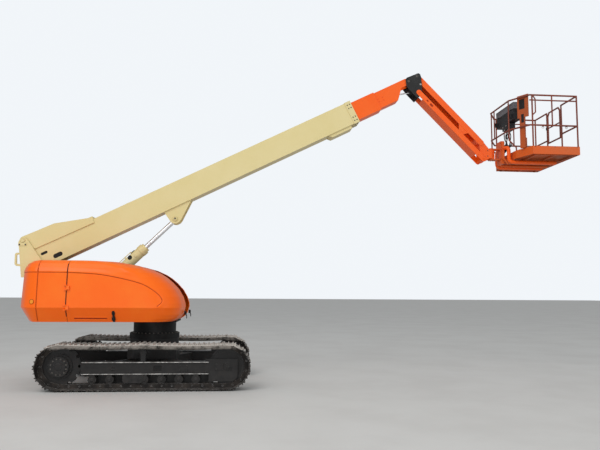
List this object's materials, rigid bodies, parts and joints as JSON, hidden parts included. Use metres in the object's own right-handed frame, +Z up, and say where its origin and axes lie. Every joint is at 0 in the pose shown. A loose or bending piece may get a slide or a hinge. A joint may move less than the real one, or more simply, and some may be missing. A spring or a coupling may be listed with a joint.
{
  "type": "tracked telescopic boom lift",
  "caption": "Self-propelled boom lift on crawler tracks: slewing turntable with counterweight, telescoping boom, levelled jib and a railed work platform.",
  "frame": {"origin": "on the ground, below the middle of the overall length and width; the slewing axis stands 2.694 m behind it", "axes": "+X forward along the boom as parked, +Y to the machine's left, +Z up"},
  "size_m": [10.382, 2.506, 5.979],
  "materials": {
    "orange_paint": "satin",
    "cream_paint": "satin",
    "black_paint": "satin",
    "frame_paint": "matte",
    "shoe_steel": "matte",
    "counterweight_iron": "satin",
    "engine_iron": "satin",
    "rod_chrome": "polished",
    "gray_plastic": "satin",
    "black_plastic": "satin"
  },
  "bodies": {
    "undercarriage": {"car_body": "frame_paint", "slew_ring": "frame_paint", "track_frame_left": "frame_paint", "track_frame_right": "frame_paint", "track_left": "shoe_steel", "track_right": "shoe_steel", "sprocket_left": "frame_paint", "sprocket_right": "frame_paint", "idler_left": "frame_paint", "idler_right": "frame_paint", "rollers_left": "frame_paint", "rollers_right": "frame_paint"},
    "turntable": {"turntable_deck": "frame_paint", "boom_uprights": "cream_paint", "counterweight": "counterweight_iron", "engine_block": "engine_iron", "rear_cover_left": "orange_paint", "rear_cover_right": "orange_paint"},
    "door_left": {"hood_door_left": "orange_paint"},
    "door_right": {"hood_door_right": "orange_paint"},
    "base_boom": {"base_tube": "cream_paint", "base_collar": "cream_paint", "boom_root": "cream_paint", "lift_lug": "cream_paint", "collar_fairing": "cream_paint"},
    "mid_boom": {"mid_tube": "orange_paint"},
    "fly_boom": {"fly_tube": "orange_paint"},
    "lift_barrel": {"lift_barrel": "cream_paint"},
    "lift_rod": {"lift_rod": "rod_chrome"},
    "level_barrel": {"level_barrel": "black_paint"},
    "level_rod": {"level_rod": "rod_chrome"},
    "knuckle": {"knuckle": "black_paint"},
    "upper_arm": {"upper_arm": "orange_paint"},
    "lower_arm": {"lower_arm": "orange_paint"},
    "jib_barrel": {"jib_barrel": "black_paint"},
    "jib_rod": {"jib_rod": "rod_chrome"},
    "jib_head": {"jib_head": "orange_paint"},
    "platform": {"platform_bracket": "black_paint", "platform_floor": "orange_paint", "kick_plates": "orange_paint", "guard_rails": "orange_paint", "console_post": "orange_paint", "console": "black_plastic", "console_lid": "gray_plastic"},
    "gate": {"platform_gate": "orange_paint"}
  },
  "joints": [
    {"name": "swing", "type": "hinge", "parent": "undercarriage", "child": "turntable", "pos_m": [-2.694, 0, 1], "axis": [0, 0, 1], "continuous": true},
    {"name": "boom_lift", "type": "hinge", "parent": "turntable", "child": "base_boom", "pos_m": [-5.067, 0, 2.559], "axis": [0, -1, 0], "range_deg": [-24.5, 38]},
    {"name": "mid_extend", "type": "slide", "parent": "base_boom", "child": "mid_boom", "axis": [0.8949, 0, 0.4462], "range_m": [0, 4.5]},
    {"name": "fly_extend", "type": "slide", "parent": "mid_boom", "child": "fly_boom", "axis": [0.8949, 0, 0.4462], "range_m": [0, 4.5]},
    {"name": "lift_barrel_pivot", "type": "hinge", "parent": "turntable", "child": "lift_barrel", "pos_m": [-4.231, 0, 1.17], "axis": [0, -1, 0], "range_deg": [-19.77, 30.64]},
    {"name": "lift_rod_slide", "type": "slide", "parent": "lift_barrel", "child": "lift_rod", "axis": [0.7132, 0, 0.701], "range_m": [-0.6852, 1.0622]},
    {"name": "knuckle_level", "type": "hinge", "parent": "fly_boom", "child": "knuckle", "pos_m": [2.11894, 0, 5.80656], "axis": [0, -1, 0], "range_deg": [-38.05, 24.55]},
    {"name": "level_barrel_pivot", "type": "hinge", "parent": "fly_boom", "child": "level_barrel", "pos_m": [1.42089, 0, 5.45852], "axis": [0, -1, 0], "range_deg": [-0.295, 0.43]},
    {"name": "level_rod_slide", "type": "slide", "parent": "level_barrel", "child": "level_rod", "axis": [0.9778, 0, 0.2097], "range_m": [-0.1244, 0.0805]},
    {"name": "jib_raise", "type": "hinge", "parent": "knuckle", "child": "upper_arm", "pos_m": [2.291, 0, 5.915], "axis": [0, -1, 0], "range_deg": [-15, 115]},
    {"name": "lower_arm_pivot", "type": "hinge", "parent": "knuckle", "child": "lower_arm", "pos_m": [2.31976, 0, 5.58626], "axis": [0, -1, 0], "range_deg": [-15.05, 115.05]},
    {"name": "head_level", "type": "hinge", "parent": "upper_arm", "child": "jib_head", "pos_m": [3.57366, 0, 4.60975], "axis": [0, -1, 0], "range_deg": [-115.05, 15.05]},
    {"name": "jib_barrel_pivot", "type": "hinge", "parent": "knuckle", "child": "jib_barrel", "pos_m": [2.329, 0, 5.726], "axis": [0, -1, 0], "range_deg": [-15.05, 115.05]},
    {"name": "jib_rod_slide", "type": "slide", "parent": "jib_barrel", "child": "jib_rod", "axis": [0.6777, 0, -0.7353], "range_m": [-0.0403, 0.3021]},
    {"name": "platform_rotate", "type": "hinge", "parent": "jib_head", "child": "platform", "pos_m": [3.82096, 0, 4.4], "axis": [0, 0, 1], "range_deg": [-90, 90]},
    {"name": "gate_hinge", "type": "hinge", "parent": "platform", "child": "gate", "pos_m": [5.16896, -0.238, 5], "axis": [0, 0, 1], "range_deg": [0, 90]},
    {"name": "door_left_hinge", "type": "hinge", "parent": "turntable", "child": "door_left", "pos_m": [-3.994, 1.245, 1.6], "axis": [0, 0, 1], "range_deg": [0, 70]},
    {"name": "door_right_hinge", "type": "hinge", "parent": "turntable", "child": "door_right", "pos_m": [-3.994, -1.245, 1.6], "axis": [0, 0, -1], "range_deg": [0, 70]}
  ],
  "couplings": [
    {"joint": "fly_extend", "follows": "mid_extend", "ratio": 1},
    {"joint": "lift_barrel_pivot", "follows": "boom_lift", "ratio": 0.805},
    {"joint": "lift_rod_slide", "follows": "boom_lift", "m_per_rad": 1.6},
    {"joint": "knuckle_level", "follows": "boom_lift", "ratio": -1},
    {"joint": "level_barrel_pivot", "follows": "boom_lift", "ratio": 0.01},
    {"joint": "level_rod_slide", "follows": "boom_lift", "m_per_rad": -0.186},
    {"joint": "lower_arm_pivot", "follows": "jib_raise", "ratio": 1},
    {"joint": "head_level", "follows": "jib_raise", "ratio": -1},
    {"joint": "jib_barrel_pivot", "follows": "jib_raise", "ratio": 1},
    {"joint": "jib_rod_slide", "follows": "jib_raise", "m_per_rad": 0.15}
  ]
}
